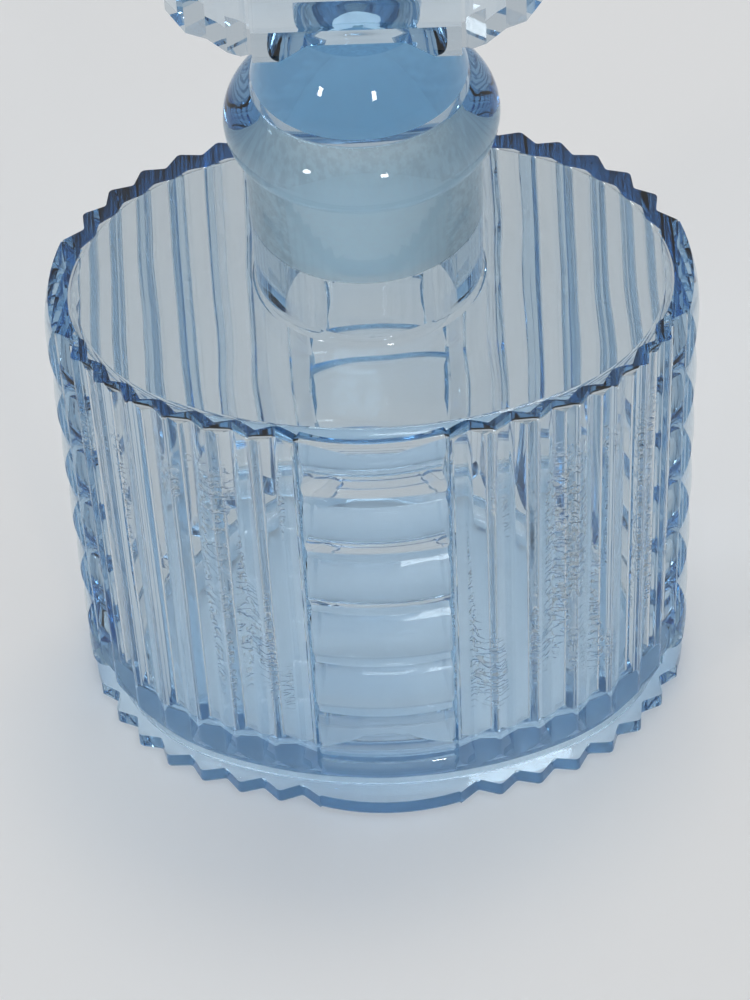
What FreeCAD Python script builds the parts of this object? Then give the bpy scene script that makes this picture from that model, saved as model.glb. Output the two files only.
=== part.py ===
import FreeCAD, Part
import math
import os
import Sketcher
from FreeCAD import Placement, Rotation, Vector

# A pressed and blown glass scent bottle of the 1930s with a ground glass stopper.
# +Z is up, X is the long way of the oval, the front panel faces -Y, and the
# origin is the middle of the foot's underside.  Every length is in millimetres.

DRIVING_SIZES = [
    # Oval body
    ("half_width", 42.7, "oval, middle to the rib crests along X"),
    ("half_depth", 32.2, "oval, middle to the rib crests along Y"),
    ("end_arc", 29.0, "oval's radius round its ends"),
    ("rim_height", 71.0, "foot's underside to the sharp rim of the top"),
    ("dome_rise", 1.2, "top face, rim to middle"),
    # Vertical ribs between the panels
    ("rib_spaces", 7, "grooves in each quarter of the oval"),
    ("rib_depth", 1.75, "crest line to the sharp valley"),
    ("crest_radius", 0.8, "rounding of a rib's crest"),
    ("valley_radius", 0.6, "rounding of a groove"),
    # Panels of horizontal ribs
    ("front_panel_half", 9.8, "middle of a front panel to its corner rib"),
    ("side_panel_half", 9.2, "middle of a side panel to its corner rib"),
    ("panel_bow", 1.15, "how far a panel bows out of its chord"),
    ("panel_recess", 0.7, "corner rib's crest down to the panel's grooves"),
    ("side_panel_swell", 0.3, "side panels stand out further than the front and back ones"),
    ("bulge_height", 1.15, "groove to crest of a horizontal rib"),
    ("bulge_rows", 6, "full horizontal ribs between the rim and the foot's curve"),
    ("bulge_pitch", 10.1, "one horizontal rib to the next"),
    ("bulge_overrun", 0.4, "top horizontal rib runs past the rim before it is cut off"),
    ("bulge_end_radius", 1.2, "rounding of a horizontal rib's ends"),
    # Foot
    ("foot_edge", 2.3, "height of the foot's upright edge"),
    ("foot_spread", 0.5, "foot's crests stand out past the body's"),
    ("foot_round", 6.0, "rounding of the body above the foot"),
    ("foot_waist", 2.2, "crest line in to the waist above the foot"),
    ("foot_bulge", 1.5, "swell of the panels between their lowest groove and the waist"),
    ("foot_round_top", 9.5, "height where the rounding starts"),
    ("foot_hollow_depth", 1.2, "hollow under the foot"),
    ("foot_rim_width", 6.5, "ring that the bottle stands on"),
    # Inside of the body
    ("wall", 2.5, "glass between the outer and inner rib crests"),
    ("inner_rib_depth", 0.9, "blown inside follows the ribs softly"),
    ("inner_crest_radius", 0.6, "rounding of the inner crests"),
    ("inner_valley_radius", 1.8, "rounding of the inner valleys"),
    ("top_thickness", 2.0, "glass of the top near the rim"),
    ("floor_thickness", 6.5, "glass of the floor"),
    ("inner_top_round", 1.6, "inside corner under the top"),
    ("inner_floor_round", 8.0, "inside corner at the floor"),
    # Neck and lip
    ("neck_root_height", 70.0, "bottom of the neck, inside the top"),
    ("neck_base_radius", 15.6, "foot of the neck's flare"),
    ("neck_base_height", 71.8, "height where the flare leaves the top"),
    ("neck_waist_radius", 15.0, "narrowest part of the neck"),
    ("neck_waist_height", 73.6, "height of the narrowest part"),
    ("neck_top_radius", 15.2, "neck under the lip"),
    ("neck_top_height", 94.0, "height of the crease under the lip"),
    ("lip_radius", 17.5, "widest part of the lip"),
    ("lip_height", 98.0, "height of the widest part"),
    ("mouth_radius", 13.85, "sharp edge of the mouth's ground seat"),
    ("mouth_height", 103.0, "height of the mouth"),
    ("flare_arc", 1.9, "arc at the foot of the neck"),
    ("lip_under_arc", 4.4, "arc from the crease to the widest part"),
    ("lip_top_arc", 5.25, "arc from the widest part to the mouth"),
    # Ground bore and plug
    ("bore_top_radius", 11.4, "bore at the mouth"),
    ("bore_foot_radius", 10.55, "bore at the end of the ground taper"),
    ("bore_foot_height", 80.0, "height of the taper's lower end"),
    ("bore_throat_radius", 10.9, "narrowest part of the smooth bore"),
    ("bore_throat_height", 71.6, "height where the bore starts to flare"),
    ("bore_flare_radius", 12.8, "bore where it meets the inside of the top"),
    ("bore_flare_height", 69.0, "height of the flare's lower end"),
    ("bore_flare_arc", 2.6, "arc of the flare"),
    ("bore_root_height", 66.0, "lowest reach of the bore's cutting tool"),
    ("bore_end_height", 105.0, "highest reach of the bore's cutting tool"),
    ("plug_top_radius", 11.35, "plug at the mouth, a running gap inside the bore"),
    ("plug_end_radius", 10.52, "plug where its nose starts to round"),
    ("plug_end_height", 82.0, "height where the nose starts to round"),
    ("plug_nose_radius", 9.3, "flat under the plug"),
    ("plug_foot_height", 80.6, "height of the plug's lower end at rest"),
    ("plug_nose_arc", 1.8, "rounding of the nose"),
    # Stopper's collar and head
    ("collar_height", 103.05, "underside of the collar, just above the mouth"),
    ("collar_foot_radius", 13.4, "flat under the collar"),
    ("collar_radius", 13.95, "edge of the collar"),
    ("collar_edge_height", 103.5, "height of the collar's edge"),
    ("collar_edge_arc", 0.6, "rounding of the collar's edge"),
    ("collar_top_radius", 8.5, "top of the collar's dome"),
    ("collar_top_height", 113.0, "height of the dome's top"),
    ("collar_arc", 15.0, "arc of the dome"),
    ("head_bottom", 110.8, "height of the head's lowest line"),
    ("head_top", 144.0, "height of the head's top"),
    ("head_half_width", 23.1, "middle to the end of a wing"),
    ("wing_end_half_thickness", 2.6, "half thickness at the wing's end"),
    ("wing_valley_half_thickness", 4.5, "half thickness in a wing's groove"),
    ("wing_crest_half_thickness", 5.3, "half thickness at a wing rib's crest"),
    ("wing_rib_pitch", 4.9, "one wing rib to the next"),
    ("wing_root_width", 14.2, "half width of the head's lowest line"),
    ("wing_corner_height", 5.8, "rise of the head's cut corners"),
    ("centre_half_width", 12.8, "half width of the head's centre panel"),
    ("centre_groove_half", 5.6, "half thickness in the centre panel's grooves"),
    ("centre_rib_height", 0.45, "height of the centre panel's ribs"),
    ("centre_bottom", 110.4, "lower edge of the centre panel"),
    ("centre_ribs", 8, "horizontal ribs on the head"),
    ("centre_rise", 1.4, "centre panel above the wings' top"),
]

CUT_MARGIN = 5.0        # how far a cutting tool runs past the glass
JOIN_MARGIN = 1.0       # how far a part of the glass runs on inside its neighbour
FOOT_PANEL_SINK = 0.2   # the foot's plain edge, just inside its corner crests
INNER_CLEARANCE = 0.3   # rounded envelope of the inside, outside its ribs
PANEL_ROOT_SHARE = 0.5  # depth of a panel's root in the body, against its half width
PANEL_OVERSWEEP = 1.15  # a panel's rows are turned this much too wide, then trimmed
PILLOW_SINK_SHARE = 0.2  # a pillow's end sinks by this share of its end radius
ROOT_TRIM_SHARE = 0.8   # share of the root's depth that the trimming plan reaches
AXIS = "axis"           # stands for a corner on the upright axis


def make_sheet(doc):
    """Keep the driving dimensions in a sheet, one named cell to a row."""
    sheet = doc.addObject("Spreadsheet::Sheet", "dims")
    for row, (alias, value, note) in enumerate(DRIVING_SIZES, start=1):
        sheet.set("A%d" % row, note)
        sheet.set("B%d" % row, str(value))
        sheet.setAlias("B%d" % row, alias)
    doc.recompute()
    return sheet


def oval_centres(sheet, inset):
    """The oval's arcs: middle of the end arc, middle and radius of the long arc, and their joint."""
    width = sheet.half_width - inset
    depth = sheet.half_depth - inset
    end_arc = sheet.end_arc - inset
    long_arc = (width ** 2 + depth ** 2 - 2.0 * width * end_arc) / (2.0 * (depth - end_arc))
    end_centre = Vector(width - end_arc, 0, 0)
    long_centre = Vector(0, depth - long_arc, 0)
    outward = end_centre - long_centre
    outward.normalize()
    return end_centre, long_centre, long_arc, end_centre + outward * end_arc


def oval_wire(sheet, inset, height):
    """Closed oval of four arcs, set in from the crest line, at a height."""
    joint = oval_centres(sheet, inset)[3]
    width = sheet.half_width - inset
    depth = sheet.half_depth - inset
    corners = [
        Vector(joint.x, -joint.y, 0),
        joint,
        Vector(-joint.x, joint.y, 0),
        Vector(-joint.x, -joint.y, 0),
    ]
    tops = [Vector(width, 0, 0), Vector(0, depth, 0), Vector(-width, 0, 0), Vector(0, -depth, 0)]
    edges = []
    for index, middle in enumerate(tops):
        arc = Part.Arc(corners[index], middle, corners[(index + 1) % 4])
        edges.append(arc.toShape())
    wire = Part.Wire(edges)
    wire.translate(Vector(0, 0, height))
    return wire


def oval_prism(sheet, inset, low, high):
    """Upright solid with the oval plan, set in from the crest line."""
    face = Part.Face(oval_wire(sheet, inset, low))
    return face.extrude(Vector(0, 0, high - low))


def ring_edges(solid, height):
    """Closed edges of a solid that lie flat at a height."""
    found = []
    for edge in solid.Edges:
        box = edge.BoundBox
        if abs(box.ZMin - height) < 1e-3 and abs(box.ZMax - height) < 1e-3:
            found.append(edge)
    return found


def rib_crests(sheet, inset):
    """Crest points of one quarter, from the side panel's corner to the back panel's."""
    end_centre, long_centre, long_arc, joint = oval_centres(sheet, inset)
    end_arc = sheet.end_arc - inset
    joint_angle = math.atan2(joint.y, joint.x - end_centre.x)
    first_angle = math.asin(sheet.side_panel_half / sheet.end_arc)
    last_angle = math.acos(sheet.front_panel_half / (long_arc + inset))
    end_length = end_arc * (joint_angle - first_angle)
    whole_length = end_length + long_arc * (last_angle - joint_angle)
    spaces = int(sheet.rib_spaces)
    crests = []
    for number in range(spaces + 1):
        travelled = whole_length * number / spaces
        if travelled <= end_length:
            angle = first_angle + travelled / end_arc
            crests.append(end_centre + Vector(math.cos(angle), math.sin(angle), 0) * end_arc)
        else:
            angle = joint_angle + (travelled - end_length) / long_arc
            crests.append(long_centre + Vector(math.cos(angle), math.sin(angle), 0) * long_arc)
    return crests


def zigzag(crests, depth):
    """Crests with a valley between each pair, set in by the depth."""
    points = [crests[0]]
    for before, after in zip(crests, crests[1:]):
        chord = after - before
        inward = Vector(-chord.y, chord.x, 0)
        inward.normalize()
        points.append((before + after) * 0.5 + inward * depth)
        points.append(after)
    return points


def rounded_run(points, crest_radius, valley_radius):
    """Edges along a zigzag that starts on a crest, its inner corners rounded."""
    edges = []
    start = points[0]
    for index in range(1, len(points) - 1):
        corner = points[index]
        back = points[index - 1] - corner
        ahead = points[index + 1] - corner
        back.normalize()
        ahead.normalize()
        radius = valley_radius if index % 2 else crest_radius
        half_angle = 0.5 * back.getAngle(ahead)
        setback = radius / math.tan(half_angle)
        middle = back + ahead
        middle.normalize()
        centre = corner + middle * (radius / math.sin(half_angle))
        arc_start = corner + back * setback
        arc_end = corner + ahead * setback
        edges.append(Part.LineSegment(start, arc_start).toShape())
        edges.append(Part.Arc(arc_start, centre - middle * radius, arc_end).toShape())
        start = arc_end
    edges.append(Part.LineSegment(start, points[-1]).toShape())
    return edges


def mirrored(points, flip_x, flip_y):
    """Points mirrored across the upright planes."""
    return [Vector(-p.x if flip_x else p.x, -p.y if flip_y else p.y, p.z) for p in points]


def panel_edges(start, end, outward, recess, bow):
    """A corner rib's short flank, the panel's bowed face and the other flank."""
    chord = end - start
    chord.normalize()
    first = start + chord * recess - outward * recess
    last = end - chord * recess - outward * recess
    middle = (first + last) * 0.5 + outward * bow
    return [
        Part.LineSegment(start, first).toShape(),
        Part.Arc(first, middle, last).toShape(),
        Part.LineSegment(last, end).toShape(),
    ]


def ribbed_face(quarter, crest_radius, valley_radius, recess, bow):
    """Flat face inside the whole ribbed outline, made from one quarter's zigzag."""
    first = quarter
    second = list(reversed(mirrored(quarter, True, False)))
    third = mirrored(quarter, True, True)
    fourth = list(reversed(mirrored(quarter, False, True)))
    outward = [Vector(0, 1, 0), Vector(-1, 0, 0), Vector(0, -1, 0), Vector(1, 0, 0)]
    runs = [first, second, third, fourth]
    edges = []
    for index, run in enumerate(runs):
        following = runs[(index + 1) % len(runs)]
        edges += rounded_run(run, crest_radius, valley_radius)
        edges += panel_edges(run[-1], following[0], outward[index], recess, bow)
    return Part.Face(Part.Wire(edges))


def ribbed_prism(sheet, inset, depth, crest_radius, valley_radius, low, high, sunk):
    """Upright solid with the ribbed plan; its panels are sunk below the corner ribs."""
    quarter = zigzag(rib_crests(sheet, inset), depth)
    bow = sheet.panel_bow + sheet.panel_recess - sunk
    face = ribbed_face(quarter, crest_radius, valley_radius, sunk, bow)
    face.translate(Vector(0, 0, low))
    return face.extrude(Vector(0, 0, high - low))


def body_core(sheet):
    """Ribbed body down to the waist above the foot, and the foot itself."""
    shape = (sheet.rib_depth, sheet.crest_radius, sheet.valley_radius)
    low = sheet.foot_round_top - sheet.foot_round
    high = sheet.rim_height + CUT_MARGIN
    start = low - JOIN_MARGIN
    end = high - JOIN_MARGIN
    ribbed = ribbed_prism(sheet, 0.0, *shape, start, end, sheet.panel_recess)
    hull = oval_prism(sheet, 0.0, low, high)
    hull = hull.makeFillet(sheet.foot_round, ring_edges(hull, low))
    foot_inside = 0.5 * sheet.foot_edge
    waist = oval_prism(sheet, sheet.foot_waist, foot_inside, sheet.foot_round_top)
    foot = ribbed_prism(sheet, -sheet.foot_spread, *shape, 0.0, sheet.foot_edge, FOOT_PANEL_SINK)
    return ribbed.common(hull).fuse([waist, foot])


def round_inset(radius, drop):
    """How far a quarter-round has come in at a drop below its start."""
    return radius - math.sqrt(radius * radius - drop * drop)


def bulge_profile(sheet, groove, depth):
    """Section of a panel of horizontal ribs, across its radius and its height."""
    crest = groove + sheet.bulge_height
    inner = groove - depth
    foot_inside = 0.5 * sheet.foot_edge
    waist = sheet.foot_waist - sheet.panel_recess
    drop = math.sqrt(sheet.foot_round ** 2 - (sheet.foot_round - waist) ** 2)
    low = sheet.foot_round_top
    round_x = groove - round_inset(sheet.foot_round, 0.5 * drop) + sheet.foot_bulge
    on_round = Vector(round_x, 0, low - 0.5 * drop)
    waist_top = Vector(groove - waist, 0, low - drop)
    waist_foot = Vector(groove - waist, 0, foot_inside)
    curves = [
        Part.LineSegment(Vector(inner, 0, foot_inside), waist_foot),
        Part.LineSegment(waist_foot, waist_top),
        Part.Arc(waist_top, on_round, Vector(groove, 0, low)),
    ]
    tops = [low + sheet.bulge_pitch * row for row in range(1, int(sheet.bulge_rows))]
    tops.append(sheet.rim_height + sheet.bulge_overrun)
    height = low
    for top in tops:
        middle = Vector(crest, 0, 0.5 * (height + top))
        curves.append(Part.Arc(Vector(groove, 0, height), middle, Vector(groove, 0, top)))
        height = top
    curves.append(Part.LineSegment(Vector(groove, 0, height), Vector(inner, 0, height)))
    curves.append(Part.LineSegment(Vector(inner, 0, height), Vector(inner, 0, foot_inside)))
    return Part.Face(Part.Wire([curve.toShape() for curve in curves]))


def bulged_panel(sheet, half_chord, reach):
    """One panel of horizontal ribs that faces +X, its ends rounded like a pillow."""
    half = half_chord - 0.5 * sheet.panel_recess
    bow_radius = (half * half + sheet.panel_bow ** 2) / (2.0 * sheet.panel_bow)
    depth = PANEL_ROOT_SHARE * half
    axis_x = reach - bow_radius
    sweep = 2.0 * math.degrees(math.asin(PANEL_OVERSWEEP * half / bow_radius))
    profile = bulge_profile(sheet, bow_radius, depth)
    profile.rotate(Vector(0, 0, 0), Vector(0, 0, 1), -0.5 * sweep)
    rows = profile.revolve(Vector(0, 0, 0), Vector(0, 0, 1), sweep)
    rows.translate(Vector(axis_x, 0, 0))
    end = sheet.bulge_end_radius
    corner_x = reach - sheet.panel_bow - PILLOW_SINK_SHARE * end
    crest_x = axis_x + math.sqrt((bow_radius + sheet.bulge_height) ** 2 - (half - end) ** 2)
    inner_x = reach - ROOT_TRIM_SHARE * depth
    shift = end * (1.0 - math.sqrt(0.5))
    right = [Vector(corner_x, -half, 0), Vector(crest_x, end - half, 0)]
    left = mirrored(list(reversed(right)), False, True)
    lift = Vector(crest_x - shift, shift - half, 0)
    far = Vector(reach + sheet.bulge_height, 0, 0)
    edges = [
        Part.LineSegment(Vector(inner_x, -half, 0), right[0]),
        Part.Arc(right[0], lift, right[1]),
        Part.Arc(right[1], far, left[0]),
        Part.Arc(left[0], Vector(lift.x, -lift.y, 0), left[1]),
        Part.LineSegment(left[1], Vector(inner_x, half, 0)),
        Part.LineSegment(Vector(inner_x, half, 0), Vector(inner_x, -half, 0)),
    ]
    plan = Part.Face(Part.Wire([edge.toShape() for edge in edges]))
    return rows.common(plan.extrude(Vector(0, 0, sheet.rim_height + CUT_MARGIN)))


def all_panels(sheet):
    """The four panels: front, right, back and left."""
    side_reach = sheet.half_width - sheet.panel_recess + sheet.side_panel_swell
    front_reach = sheet.half_depth - sheet.panel_recess
    side = bulged_panel(sheet, sheet.side_panel_half, side_reach)
    front = bulged_panel(sheet, sheet.front_panel_half, front_reach)
    panels = []
    for shape, angle in ((side, 0), (front, 90), (side, 180), (front, 270)):
        copy = shape.copy()
        copy.rotate(Vector(0, 0, 0), Vector(0, 0, 1), angle)
        panels.append(copy)
    return panels


def dome_tool(sheet):
    """Solid under the shallow dome of the top."""
    rise = sheet.dome_rise
    rim_radius = 0.5 * (sheet.half_width + sheet.half_depth)
    ball_radius = (rim_radius ** 2 + rise ** 2) / (2.0 * rise)
    crown = sheet.rim_height + rise
    ball = Part.makeSphere(ball_radius, Vector(0, 0, crown - ball_radius))
    room = sheet.half_width + CUT_MARGIN
    height = crown + 2.0 * JOIN_MARGIN
    block = Part.makeBox(2.0 * room, 2.0 * room, height, Vector(-room, -room, -JOIN_MARGIN))
    return ball.common(block)


def body_glass(sheet):
    """Outside of the body: ribs, panels, foot and the domed top."""
    solid = body_core(sheet).fuse(all_panels(sheet))
    return solid.common(dome_tool(sheet))


def body_cavity(sheet):
    """Inside of the body, which follows the outside softly."""
    shape = (sheet.inner_rib_depth, sheet.inner_crest_radius, sheet.inner_valley_radius)
    low = sheet.floor_thickness
    top = sheet.rim_height - sheet.top_thickness
    inner = sheet.wall - INNER_CLEARANCE
    sunk = 0.5 * sheet.panel_recess
    ribbed = ribbed_prism(sheet, sheet.wall, *shape, low - JOIN_MARGIN, top + JOIN_MARGIN, sunk)
    envelope = oval_prism(sheet, inner, low, top)
    envelope = envelope.makeFillet(sheet.inner_floor_round, ring_edges(envelope, low))
    envelope = envelope.makeFillet(sheet.inner_top_round, ring_edges(envelope, top))
    return ribbed.common(envelope)


def foot_hollow(sheet):
    """Shallow hollow under the foot, so that the bottle stands on a ring."""
    return oval_prism(sheet, sheet.foot_rim_width, -JOIN_MARGIN, sheet.foot_hollow_depth)


def coded_feature(doc, name, shape):
    """Document object for a shape that the sheet's sizes drive through a function."""
    feature = doc.addObject("Part::Feature", name)
    feature.Shape = shape
    return feature


def origin_plane(body, role):
    """Plane of the body's own origin."""
    return next(item for item in body.Origin.OriginFeatures if item.Role == role)


def attached_sketch(body, name, role):
    """Empty sketch on one of the body's origin planes."""
    sketch = body.newObject("Sketcher::SketchObject", name)
    sketch.AttachmentSupport = (origin_plane(body, role), [""])
    sketch.MapMode = "FlatFace"
    return sketch


def sheet_value(sheet, name):
    """Number that a corner's name stands for; the axis is at nothing."""
    return 0.0 if name == AXIS else getattr(sheet, name)


def arc_curve(start, end, radius, bulge_left):
    """Short anticlockwise arc of a radius between two corners, its bulge on the chosen side."""
    chord = end - start
    side = Vector(-chord.y, chord.x, 0)
    side.normalize()
    if not bulge_left:
        side = side * -1.0
    half = 0.5 * chord.Length
    centre = (start + end) * 0.5 - side * math.sqrt(radius * radius - half * half)
    first, last = (end, start) if bulge_left else (start, end)
    first_angle = math.atan2(first.y - centre.y, first.x - centre.x)
    last_angle = math.atan2(last.y - centre.y, last.x - centre.x)
    circle = Part.Circle(centre, Vector(0, 0, 1), radius)
    return Part.ArcOfCircle(circle, first_angle, last_angle)


def bind(sketch, constraint, alias):
    """Add a dimension to a sketch and tie it to a cell of the sheet."""
    index = sketch.addConstraint(constraint)
    name = "size_%d" % index
    sketch.renameConstraint(index, name)
    sketch.setExpression("Constraints." + name, "dims." + alias)


def bound_profile(sheet, body, name, corners, arcs):
    """Closed half section in the body's XZ plane, every corner and arc tied to the sheet.

    Each corner is a pair of the sheet's names.  arcs maps the number of the corner where
    an arc starts to its radius and to whether it bulges to the left of its way.
    """
    sketch = attached_sketch(body, name, "XZ_Plane")
    points = [Vector(sheet_value(sheet, x), sheet_value(sheet, z), 0) for x, z in corners]
    count = len(points)
    ends = []
    for index in range(count):
        start = points[index]
        end = points[(index + 1) % count]
        if index in arcs:
            alias, bulge_left = arcs[index]
            curve = arc_curve(start, end, sheet_value(sheet, alias), bulge_left)
            sketch.addGeometry(curve, False)
            ends.append((2, 1) if bulge_left else (1, 2))
        else:
            sketch.addGeometry(Part.LineSegment(start, end), False)
            ends.append((1, 2))
    for index in range(count):
        following = (index + 1) % count
        joint = Sketcher.Constraint(
            "Coincident", index, ends[index][1], following, ends[following][0]
        )
        sketch.addConstraint(joint)
    for index, (across, up) in enumerate(corners):
        at_start = ends[index][0]
        if across == AXIS:
            sketch.addConstraint(Sketcher.Constraint("PointOnObject", index, at_start, -2))
        else:
            size = sheet_value(sheet, across)
            bind(sketch, Sketcher.Constraint("DistanceX", -1, 1, index, at_start, size), across)
        size = sheet_value(sheet, up)
        bind(sketch, Sketcher.Constraint("DistanceY", -1, 1, index, at_start, size), up)
    for index, (alias, _) in arcs.items():
        size = sheet_value(sheet, alias)
        bind(sketch, Sketcher.Constraint("Radius", index, size), alias)
    return sketch


def turn_profile(body, sketch, name):
    """Turn a half section once round the upright axis."""
    turned = body.newObject("PartDesign::Revolution", name)
    turned.Profile = sketch
    turned.ReferenceAxis = (sketch, ["V_Axis"])
    turned.Angle = 360.0
    sketch.Visibility = False
    return turned


def make_neck(doc, sheet):
    """Neck and rolled lip, solid to the axis."""
    body = doc.addObject("PartDesign::Body", "neck_glass")
    corners = [
        (AXIS, "neck_root_height"),
        ("neck_base_radius", "neck_root_height"),
        ("neck_base_radius", "neck_base_height"),
        ("neck_waist_radius", "neck_waist_height"),
        ("neck_top_radius", "neck_top_height"),
        ("lip_radius", "lip_height"),
        ("mouth_radius", "mouth_height"),
        (AXIS, "mouth_height"),
    ]
    arcs = {2: ("flare_arc", True), 4: ("lip_under_arc", False), 5: ("lip_top_arc", False)}
    sketch = bound_profile(sheet, body, "neck_section", corners, arcs)
    turn_profile(body, sketch, "neck_turned")
    return body


def make_bore(doc, sheet):
    """Space inside the neck: ground taper, smooth throat and flare into the body."""
    body = doc.addObject("PartDesign::Body", "neck_bore")
    corners = [
        (AXIS, "bore_root_height"),
        ("bore_flare_radius", "bore_root_height"),
        ("bore_flare_radius", "bore_flare_height"),
        ("bore_throat_radius", "bore_throat_height"),
        ("bore_foot_radius", "bore_foot_height"),
        ("bore_top_radius", "mouth_height"),
        ("bore_top_radius", "bore_end_height"),
        (AXIS, "bore_end_height"),
    ]
    arcs = {2: ("bore_flare_arc", True)}
    sketch = bound_profile(sheet, body, "bore_section", corners, arcs)
    turn_profile(body, sketch, "bore_turned")
    return body


def make_bottle(doc, sheet):
    """The bottle's one piece of glass: outside, less the space inside."""
    body = coded_feature(doc, "body_glass", body_glass(sheet))
    neck = make_neck(doc, sheet)
    outside = doc.addObject("Part::MultiFuse", "bottle_outside")
    outside.Shapes = [body, neck]
    cavity = coded_feature(doc, "body_cavity", body_cavity(sheet))
    hollow = coded_feature(doc, "foot_hollow", foot_hollow(sheet))
    bore = make_bore(doc, sheet)
    inside = doc.addObject("Part::MultiFuse", "bottle_inside")
    inside.Shapes = [cavity, bore, hollow]
    bottle = doc.addObject("Part::Cut", "bottle")
    bottle.Base = outside
    bottle.Tool = inside
    bottle.Label = "bottle"
    return bottle


def draw_loop(sketch, points):
    """Closed run of straight lines in a sketch."""
    for before, after in zip(points, points[1:] + points[:1]):
        sketch.addGeometry(Part.LineSegment(before, after), False)


def wing_plan(sheet):
    """Half thickness of the head across its width: a centre web and two ribs on each wing."""
    pitch = sheet.wing_rib_pitch
    valley = sheet.wing_valley_half_thickness
    crest = sheet.wing_crest_half_thickness
    end = sheet.head_half_width
    points = [(end, sheet.wing_end_half_thickness)]
    reach = end - 0.5 * pitch
    while reach > sheet.centre_half_width:
        points.append((reach, crest))
        points.append((reach - 0.5 * pitch, valley))
        reach -= pitch
    quarter = [Vector(x, y, 0) for x, y in points]
    back = quarter + list(reversed(mirrored(quarter, True, False)))
    return back + list(reversed(mirrored(back, False, True)))


def make_head_wings(body, sheet):
    """Upright slab with ribbed wings and four cut corners."""
    plan = attached_sketch(body, "wing_plan", "XY_Plane")
    plan.setExpression("AttachmentOffset.Base.z", "dims.head_bottom")
    draw_loop(plan, wing_plan(sheet))
    slab = body.newObject("PartDesign::Pad", "head_slab")
    slab.Profile = plan
    slab.setExpression("Length", "dims.head_top - dims.head_bottom")
    plan.Visibility = False
    corners = attached_sketch(body, "cut_corners", "XZ_Plane")
    outer = sheet.head_half_width + CUT_MARGIN
    slope = sheet.wing_corner_height / (sheet.head_half_width - sheet.wing_root_width)
    for side in (-1.0, 1.0):
        root = side * sheet.wing_root_width
        far = side * outer
        rise = slope * (outer - sheet.wing_root_width)
        for level, way in ((sheet.head_bottom, 1.0), (sheet.head_top, -1.0)):
            beyond = level - way * CUT_MARGIN
            points = [
                Vector(root, level, 0),
                Vector(far, level + way * rise, 0),
                Vector(far, beyond, 0),
                Vector(root, beyond, 0),
            ]
            draw_loop(corners, points)
    cut = body.newObject("PartDesign::Pocket", "corner_cuts")
    cut.Profile = corners
    cut.Type = "ThroughAll"
    cut.Midplane = True
    corners.Visibility = False
    return cut


def make_head_centre(body, sheet):
    """Centre panel of horizontal ribs, the same on the front and the back."""
    section = attached_sketch(body, "centre_section", "YZ_Plane")
    groove = sheet.centre_groove_half
    crest = groove + sheet.centre_rib_height
    low = sheet.centre_bottom
    high = sheet.head_top + sheet.centre_rise
    ribs = int(sheet.centre_ribs)
    pitch = (high - low) / ribs
    for side in (1.0, -1.0):
        for rib in range(ribs):
            start = low + rib * pitch
            arc = Part.Arc(
                Vector(side * groove, start, 0),
                Vector(side * crest, start + 0.5 * pitch, 0),
                Vector(side * groove, start + pitch, 0),
            )
            section.addGeometry(arc, False)
    for level in (low, high):
        section.addGeometry(Part.LineSegment(Vector(-groove, level, 0), Vector(groove, level, 0)), False)
    panel = body.newObject("PartDesign::Pad", "centre_panel")
    panel.Profile = section
    panel.Midplane = True
    panel.setExpression("Length", "2 * dims.centre_half_width")
    section.Visibility = False
    return panel


def make_stopper(doc, sheet):
    """The stopper's one piece of glass: ground plug, domed collar and ribbed head."""
    body = doc.addObject("PartDesign::Body", "stopper")
    corners = [
        (AXIS, "plug_foot_height"),
        ("plug_nose_radius", "plug_foot_height"),
        ("plug_end_radius", "plug_end_height"),
        ("plug_top_radius", "collar_height"),
        ("collar_foot_radius", "collar_height"),
        ("collar_radius", "collar_edge_height"),
        ("collar_top_radius", "collar_top_height"),
        (AXIS, "collar_top_height"),
    ]
    arcs = {
        1: ("plug_nose_arc", False),
        4: ("collar_edge_arc", False),
        5: ("collar_arc", False),
    }
    sketch = bound_profile(sheet, body, "plug_section", corners, arcs)
    turn_profile(body, sketch, "plug_and_collar")
    make_head_wings(body, sheet)
    make_head_centre(body, sheet)
    body.Label = "stopper"
    return body


def check_document(doc):
    """Stop if any object of the document failed to rebuild."""
    for item in doc.Objects:
        if "Invalid" in item.State or "Error" in item.State:
            raise RuntimeError("%s did not rebuild: %s" % (item.Label, item.State))


def write_parts(parts):
    """Write each sub-part to a file named by its label."""
    os.makedirs("parts", exist_ok=True)
    for part in parts:
        shape = part.Shape
        if shape.isNull() or not shape.isValid():
            raise RuntimeError("%s has no valid shape" % part.Label)
        shape.exportStep("parts/%s.step" % part.Label)


def main():
    doc = FreeCAD.newDocument("scent_bottle")
    sheet = make_sheet(doc)
    parts = [make_bottle(doc, sheet), make_stopper(doc, sheet)]
    for part in parts:
        part.Placement = Placement(Vector(0, 0, 0), Rotation(0, 0, 0))
    doc.recompute()
    check_document(doc)
    write_parts(parts)


main()
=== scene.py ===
"""A pale blue pressed glass scent bottle with a ground glass stopper, on a pale floor in soft light."""
import math

import bpy
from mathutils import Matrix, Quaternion, Vector

MM = 0.001

# Camera, placed from the middle of the body's rim
RIM_HEIGHT = 71 * MM
CAMERA_DISTANCE = 423.4 * MM
CAMERA_RISE = math.radians(40.98)
CAMERA_TURN = math.radians(1.67)
CAMERA_ROLL = math.radians(-3.10)
CAMERA_LENS = 115.4
CAMERA_NEAR = 10 * MM
AIM_OFFSET = Vector((-0.94, 0, -42.27)) * MM

# Glass
GLASS_INDEX = 1.52
POLISH = 0.012
HOLLOW_ROUGHNESS = 0.35
BOTTLE_TINT = (0.855, 0.87, 0.875, 1)
STOPPER_TINT = (0.88, 0.895, 0.905, 1)
SHADOW_TINT = (0.88, 0.90, 0.92, 1)
ABSORPTION_COLOUR = (0.18, 0.54, 0.79, 1)
BOTTLE_DENSITY = 40
STOPPER_DENSITY = 24

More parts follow.
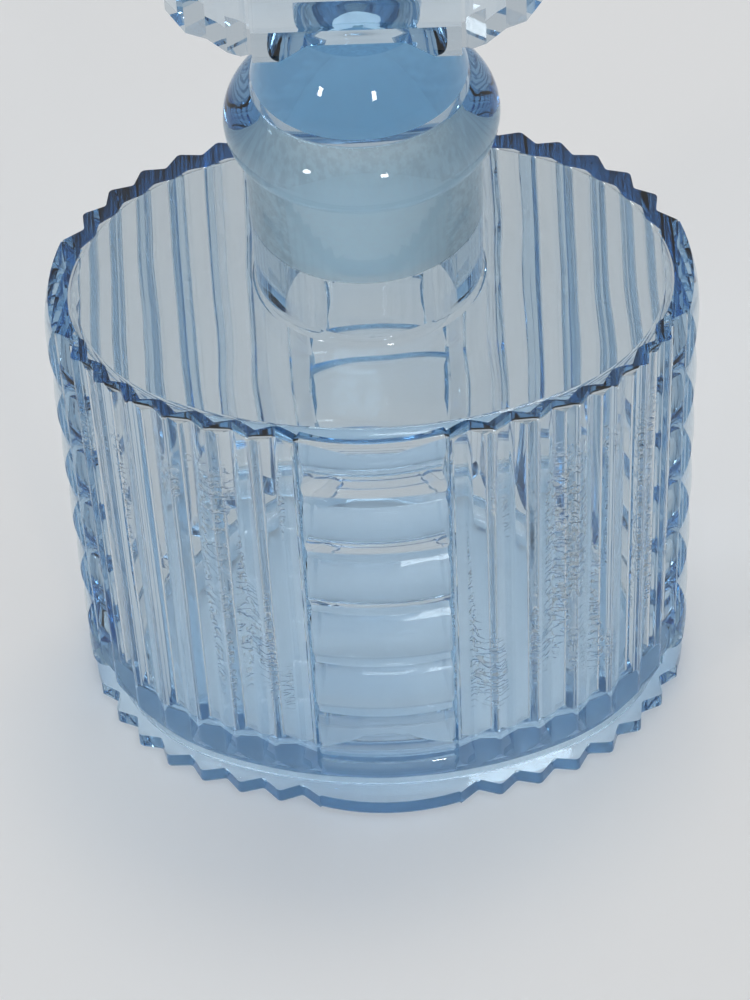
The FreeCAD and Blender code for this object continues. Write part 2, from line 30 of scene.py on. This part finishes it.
# Ground joint between stopper and neck: all the glass this near the axis, between these heights
GROUND_REACH = 11.75 * MM
GROUND_FOOT = 80.3 * MM
GROUND_TOP = 103.02 * MM
GROUND_EDGE = 0.2 * MM
GROUND_ROUGHNESS = 0.42
GROUND_WHITENESS = 0.78
FROST_TINT = (0.88, 0.99, 1.0, 1)
FROST_THINNEST = 0.8
BOTTLE_GRAIN = 900
STOPPER_GRAIN = 700
SCUFF_SHARE = (0.35, 0.65)

# Waves of the skin: how many there are in a metre, and their heights in millimetres
WAVE_SCALE = 42
SKIN_WAVE = 0.12
BLOWN_WAVE = 1.0
STOPPER_WAVE = 0.25
WAVE_STRETCH = 0.6

# Upright streaks of pale flecks and raised dashes on the inside
STREAK_SCALE = 190
STREAK_STRETCH = 0.12
STREAK_SHARE = (0.53, 0.60)
FLECK_SCALE = 1100
FLECK_SHARE = (0.55, 0.62)
FLECK_WHITENESS = 0.45
FLECK_ROUGHNESS = 0.3
DASH_SCALE = 330
DASH_SQUASH = 2.4
DASH_WIDTH = 0.05
DASH_HEIGHT = 0.12
STREAK_LOW = (14 * MM, 26 * MM)
STREAK_HIGH = (64 * MM, 54 * MM)
STREAK_FRONT = (-6 * MM, -14 * MM)

# The body's oval, of four arcs through the crests of its ribs
END_ARC = 29.0 * MM
END_CENTRE = 13.7 * MM
SIDE_ARC = 59.93 * MM
SIDE_CENTRE = 27.73 * MM

# Limits that tell the body's surfaces apart, each set in the glass or air between two of them
BEHIND_RIBS = 2.1 * MM
ABOVE_FLOOR = 7.0 * MM
INSIDE_TOP = 70.0 * MM
ABOVE_HOLLOW = 1.6 * MM
WITHIN_RING = 6.0 * MM
BESIDE_PANEL = 11.0 * MM

# Studio
FLOOR_COLOUR = (0.80, 0.80, 0.80, 1)
FLOOR_ROUGHNESS = 0.9
FLOOR_SIZE = 3.0
FLOOR_GAP = 0.02 * MM
WORLD_COLOUR = (0.55, 0.56, 0.57, 1)
LIGHT_TARGET = (0, 0, 0.06)
BOUNCES = 18
GLOSSY_BOUNCES = 12
TRANSMISSION_BOUNCES = 16


def add_node(tree, kind, inputs=None, **settings):
    """A shader node with its settings, and each input set or joined to another node's output."""
    node = tree.nodes.new(kind)
    for name, value in settings.items():
        setattr(node, name, value)
    for name, value in (inputs or {}).items():
        if isinstance(value, bpy.types.NodeSocket):
            tree.links.new(value, node.inputs[name])
        else:
            node.inputs[name].default_value = value
    return node


def math_node(tree, operation, first, second=0.0):
    """The output of a Math node."""
    return add_node(tree, "ShaderNodeMath", {0: first, 1: second}, operation=operation).outputs[0]


def product(tree, values):
    """All the values multiplied together."""
    result = values[0]
    for value in values[1:]:
        result = math_node(tree, "MULTIPLY", result, value)
    return result


def step_between(tree, value, low, high):
    """0 at low, 1 at high, and a smooth change between them, whichever is larger."""
    limits = {"Value": value, "From Min": low, "From Max": high}
    node = add_node(tree, "ShaderNodeMapRange", limits, interpolation_type="SMOOTHSTEP")
    return node.outputs["Result"]


def between(tree, value, low, high):
    """low where a value is 0, high where it is 1."""
    return math_node(tree, "ADD", math_node(tree, "MULTIPLY", value, high - low), low)


def new_material(name):
    """An empty material and its node tree."""
    material = bpy.data.materials.new(name)
    material.use_nodes = True
    material.node_tree.nodes.clear()
    return material, material.node_tree


def place(tree):
    """The point on the piece, in metres, where it is when the bottle is at rest."""
    return add_node(tree, "ShaderNodeTexCoord").outputs["Object"]


def noise(tree, point, scale, detail=2.0, roughness=0.5):
    """Noise of so many features in a metre."""
    settings = {"Vector": point, "Scale": scale, "Detail": detail, "Roughness": roughness}
    return add_node(tree, "ShaderNodeTexNoise", settings).outputs["Fac"]


def split(tree, point):
    """The three coordinates of a point."""
    return add_node(tree, "ShaderNodeSeparateXYZ", {"Vector": point}).outputs


def distance_2d(tree, across, along):
    """Distance from the axis of two coordinates."""
    flat = add_node(tree, "ShaderNodeCombineXYZ", {"X": across, "Y": along}).outputs[0]
    return add_node(tree, "ShaderNodeVectorMath", {0: flat}, operation="LENGTH").outputs["Value"]


def ground_zone(tree, point):
    """1 on the ground joint between stopper and neck, and 0 elsewhere."""
    axes = split(tree, point)
    radius = distance_2d(tree, axes["X"], axes["Y"])
    inside = math_node(tree, "LESS_THAN", radius, GROUND_REACH)
    above = step_between(tree, axes["Z"], GROUND_FOOT - GROUND_EDGE, GROUND_FOOT + GROUND_EDGE)
    below = math_node(tree, "LESS_THAN", axes["Z"], GROUND_TOP)
    return product(tree, [inside, above, below])


def depth_in_oval(tree, point):
    """How far a point is inside the body's oval of four arcs."""
    axes = split(tree, point)
    across = math_node(tree, "ABSOLUTE", axes["X"])
    along = math_node(tree, "ABSOLUTE", axes["Y"])
    from_end = distance_2d(tree, math_node(tree, "SUBTRACT", across, END_CENTRE), along)
    from_side = distance_2d(tree, across, math_node(tree, "ADD", along, SIDE_CENTRE))
    end_depth = math_node(tree, "SUBTRACT", END_ARC, from_end)
    side_depth = math_node(tree, "SUBTRACT", SIDE_ARC, from_side)
    past_end = math_node(tree, "MULTIPLY", math_node(tree, "SUBTRACT", across, END_CENTRE), SIDE_CENTRE)
    beside_joint = math_node(tree, "MULTIPLY", along, END_CENTRE)
    in_end = math_node(tree, "GREATER_THAN", past_end, beside_joint)
    mix = add_node(tree, "ShaderNodeMix", {"Factor": in_end, "A": side_depth, "B": end_depth})
    return mix.outputs["Result"]


def inside_wall(tree, point):
    """1 on the walls and ceiling of the body's cavity, and 0 elsewhere."""
    axes = split(tree, point)
    deep = math_node(tree, "GREATER_THAN", depth_in_oval(tree, point), BEHIND_RIBS)
    above = math_node(tree, "GREATER_THAN", axes["Z"], ABOVE_FLOOR)
    below = math_node(tree, "LESS_THAN", axes["Z"], INSIDE_TOP)
    return product(tree, [deep, above, below])


def squash(tree, point, upright):
    """The point with its height scaled: below 1 stretches a noise upright, above 1 flattens it."""
    scaled = {0: point, 1: (1, 1, upright)}
    return add_node(tree, "ShaderNodeVectorMath", scaled, operation="MULTIPLY").outputs[0]


def marked_area(tree, point):
    """1 in upright streaks on the inside, beside the front panel, and 0 elsewhere."""
    axes = split(tree, point)
    columns = noise(tree, squash(tree, point, STREAK_STRETCH), STREAK_SCALE, detail=1)
    streaks = step_between(tree, columns, *STREAK_SHARE)
    low = step_between(tree, axes["Z"], *STREAK_LOW)
    high = step_between(tree, axes["Z"], *STREAK_HIGH)
    front = step_between(tree, axes["Y"], *STREAK_FRONT)
    beside = math_node(tree, "GREATER_THAN", math_node(tree, "ABSOLUTE", axes["X"]), BESIDE_PANEL)
    return product(tree, [streaks, inside_wall(tree, point), low, high, front, beside])


def thin_lines(tree, value, width):
    """1 along the lines where a noise crosses its middle."""
    away = math_node(tree, "ABSOLUTE", math_node(tree, "SUBTRACT", value, 0.5))
    return step_between(tree, away, width, 0.0)


def under_foot(tree, point):
    """1 in the hollow under the foot, and 0 elsewhere."""
    axes = split(tree, point)
    low = math_node(tree, "LESS_THAN", axes["Z"], ABOVE_HOLLOW)
    within_ring = math_node(tree, "GREATER_THAN", depth_in_oval(tree, point), WITHIN_RING)
    return math_node(tree, "MULTIPLY", low, within_ring)


def shared_glass(material, tree, rough, through, frost, normal, tint, density):
    """Joins roughness, clearness, frost and normal into blue glass that lets the light of lamps through."""
    colour = add_node(tree, "ShaderNodeMixRGB", {"Fac": frost, "Color1": tint, "Color2": FROST_TINT})
    look = {
        "Base Color": colour.outputs[0],
        "Roughness": rough,
        "IOR": GLASS_INDEX,
        "Transmission Weight": through,
        "Normal": normal,
    }
    surface = add_node(tree, "ShaderNodeBsdfPrincipled", look)
    clear = add_node(tree, "ShaderNodeBsdfTransparent", {"Color": SHADOW_TINT})
    shadow = add_node(tree, "ShaderNodeLightPath").outputs["Is Shadow Ray"]
    mixed = add_node(tree, "ShaderNodeMixShader", {0: shadow, 1: surface.outputs[0], 2: clear.outputs[0]})
    body = {"Color": ABSORPTION_COLOUR, "Density": density}
    volume = add_node(tree, "ShaderNodeVolumeAbsorption", body)
    ends = {"Surface": mixed.outputs[0], "Volume": volume.outputs[0]}
    add_node(tree, "ShaderNodeOutputMaterial", ends)
    return material


def ripples(tree, point):
    """The soft unevenness of a fire polished skin, either side of 0."""
    return math_node(tree, "SUBTRACT", noise(tree, point, WAVE_SCALE, detail=1, roughness=0.3), 0.5)


def relief(tree, height):
    """A bump from heights in millimetres."""
    node = add_node(tree, "ShaderNodeBump", {"Height": height, "Strength": 1.0, "Distance": MM})
    return node.outputs["Normal"]


def frosting(tree, point, grain):
    """How frosted a point is: 0 off the ground joint, and uneven with a fine grain on it."""
    speckle = noise(tree, point, grain, detail=2, roughness=0.7)
    scuffs = step_between(tree, speckle, *SCUFF_SHARE)
    return math_node(tree, "MULTIPLY", ground_zone(tree, point), between(tree, scuffs, FROST_THINNEST, 1.0))


def bottle_glass():
    """The body: wavy inside with pale streaks, a ground bore and a dull hollow under the foot."""
    material, tree = new_material("bottle_glass")
    point = place(tree)
    frost = frosting(tree, point, BOTTLE_GRAIN)
    area = marked_area(tree, point)
    spots = step_between(tree, noise(tree, point, FLECK_SCALE, detail=1), *FLECK_SHARE)
    flattened = squash(tree, point, DASH_SQUASH)
    lines = thin_lines(tree, noise(tree, flattened, DASH_SCALE, detail=1), DASH_WIDTH)
    flecks = math_node(tree, "MULTIPLY", area, spots)
    dashes = math_node(tree, "MULTIPLY", area, lines)
    dull = math_node(tree, "MULTIPLY", under_foot(tree, point), HOLLOW_ROUGHNESS)
    rough = math_node(tree, "ADD", math_node(tree, "MULTIPLY", frost, GROUND_ROUGHNESS), dull)
    rough = math_node(tree, "ADD", rough, math_node(tree, "MULTIPLY", flecks, FLECK_ROUGHNESS))
    rough = math_node(tree, "ADD", rough, POLISH)
    frost_veil = math_node(tree, "MULTIPLY", frost, GROUND_WHITENESS)
    fleck_veil = math_node(tree, "MULTIPLY", flecks, FLECK_WHITENESS)
    through = math_node(tree, "SUBTRACT", 1.0, math_node(tree, "ADD", frost_veil, fleck_veil))
    waves = between(tree, inside_wall(tree, point), SKIN_WAVE, BLOWN_WAVE)
    height = math_node(tree, "MULTIPLY", ripples(tree, squash(tree, point, WAVE_STRETCH)), waves)
    height = math_node(tree, "ADD", height, math_node(tree, "MULTIPLY", dashes, DASH_HEIGHT))
    normal = relief(tree, height)
    return shared_glass(material, tree, rough, through, frost, normal, BOTTLE_TINT, BOTTLE_DENSITY)


def stopper_glass():
    """Pressed stopper with a ground plug."""
    material, tree = new_material("stopper_glass")
    point = place(tree)
    frost = frosting(tree, point, STOPPER_GRAIN)
    rough = math_node(tree, "ADD", math_node(tree, "MULTIPLY", frost, GROUND_ROUGHNESS), POLISH)
    veil = math_node(tree, "MULTIPLY", frost, GROUND_WHITENESS)
    through = math_node(tree, "SUBTRACT", 1.0, veil)
    height = math_node(tree, "MULTIPLY", ripples(tree, point), STOPPER_WAVE)
    normal = relief(tree, height)
    return shared_glass(material, tree, rough, through, frost, normal, STOPPER_TINT, STOPPER_DENSITY)


def floor_material():
    """Matt pale card."""
    material, tree = new_material("floor_card")
    look = {"Base Color": FLOOR_COLOUR, "Roughness": FLOOR_ROUGHNESS}
    surface = add_node(tree, "ShaderNodeBsdfPrincipled", look)
    add_node(tree, "ShaderNodeOutputMaterial", {"Surface": surface.outputs[0]})
    return material


def give(node, material):
    """Puts one material on every slot of a CAD node."""
    for slot in node.material_slots:
        slot.material = material


def make_floor():
    """A plain square floor under the bottle."""
    half = FLOOR_SIZE / 2
    mesh = bpy.data.meshes.new("floor")
    corners = [(-half, -half, 0), (half, -half, 0), (half, half, 0), (-half, half, 0)]
    mesh.from_pydata(corners, [], [(0, 1, 2, 3)])
    floor = bpy.data.objects.new("floor", mesh)
    bpy.context.collection.objects.link(floor)
    floor.location.z = -FLOOR_GAP
    mesh.materials.append(floor_material())


def make_world():
    """Even pale light from all around."""
    world = bpy.data.worlds.new("studio")
    bpy.context.scene.world = world
    world.use_nodes = True
    background = world.node_tree.nodes["Background"]
    background.inputs["Color"].default_value = WORLD_COLOUR
    background.inputs["Strength"].default_value = 1.0


def make_lamp(name, spot, width, height, watts):
    """A soft box that faces the bottle."""
    data = bpy.data.lights.new(name, "AREA")
    data.shape = "RECTANGLE"
    data.size = width
    data.size_y = height
    data.energy = watts
    lamp = bpy.data.objects.new(name, data)
    bpy.context.collection.objects.link(lamp)
    lamp.location = spot
    aim = (Vector(LIGHT_TARGET) - Vector(spot)).to_track_quat("-Z", "Y")
    lamp.rotation_euler = aim.to_euler()


def make_camera():
    """The camera, above and in front of the bottle."""
    rim = Vector((0, 0, RIM_HEIGHT))
    level = CAMERA_DISTANCE * math.cos(CAMERA_RISE)
    height = CAMERA_DISTANCE * math.sin(CAMERA_RISE)
    offset = Vector((level * math.sin(CAMERA_TURN), -level * math.cos(CAMERA_TURN), height))
    data = bpy.data.cameras.new("camera")
    data.lens = CAMERA_LENS
    data.clip_start = CAMERA_NEAR
    camera = bpy.data.objects.new("camera", data)
    bpy.context.collection.objects.link(camera)
    camera.location = rim + offset
    aim = (rim + AIM_OFFSET - camera.location).to_track_quat("-Z", "Y")
    camera.rotation_euler = (aim @ Quaternion((0, 0, 1), CAMERA_ROLL)).to_euler()
    bpy.context.scene.camera = camera


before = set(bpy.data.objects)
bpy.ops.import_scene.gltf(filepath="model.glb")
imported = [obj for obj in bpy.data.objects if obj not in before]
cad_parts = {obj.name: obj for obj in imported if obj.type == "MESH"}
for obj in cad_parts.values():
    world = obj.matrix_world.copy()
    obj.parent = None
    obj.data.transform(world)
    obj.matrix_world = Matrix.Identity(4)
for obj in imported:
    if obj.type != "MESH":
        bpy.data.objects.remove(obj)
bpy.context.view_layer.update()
scene = bpy.context.scene
scene.view_settings.view_transform = "Standard"
scene.cycles.max_bounces = BOUNCES
scene.cycles.glossy_bounces = GLOSSY_BOUNCES
scene.cycles.transmission_bounces = TRANSMISSION_BOUNCES

make_camera()
make_world()
make_floor()
make_lamp("top_light", spot=(0.1, 0.3, 1.0), width=0.3, height=0.25, watts=2.6)
make_lamp("left_light", spot=(-0.62, -0.62, 0.50), width=0.08, height=0.14, watts=0.9)
make_lamp("right_light", spot=(0.25, -0.82, 0.52), width=0.08, height=0.14, watts=0.9)

give(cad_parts["bottle"], bottle_glass())
give(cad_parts["stopper"], stopper_glass())
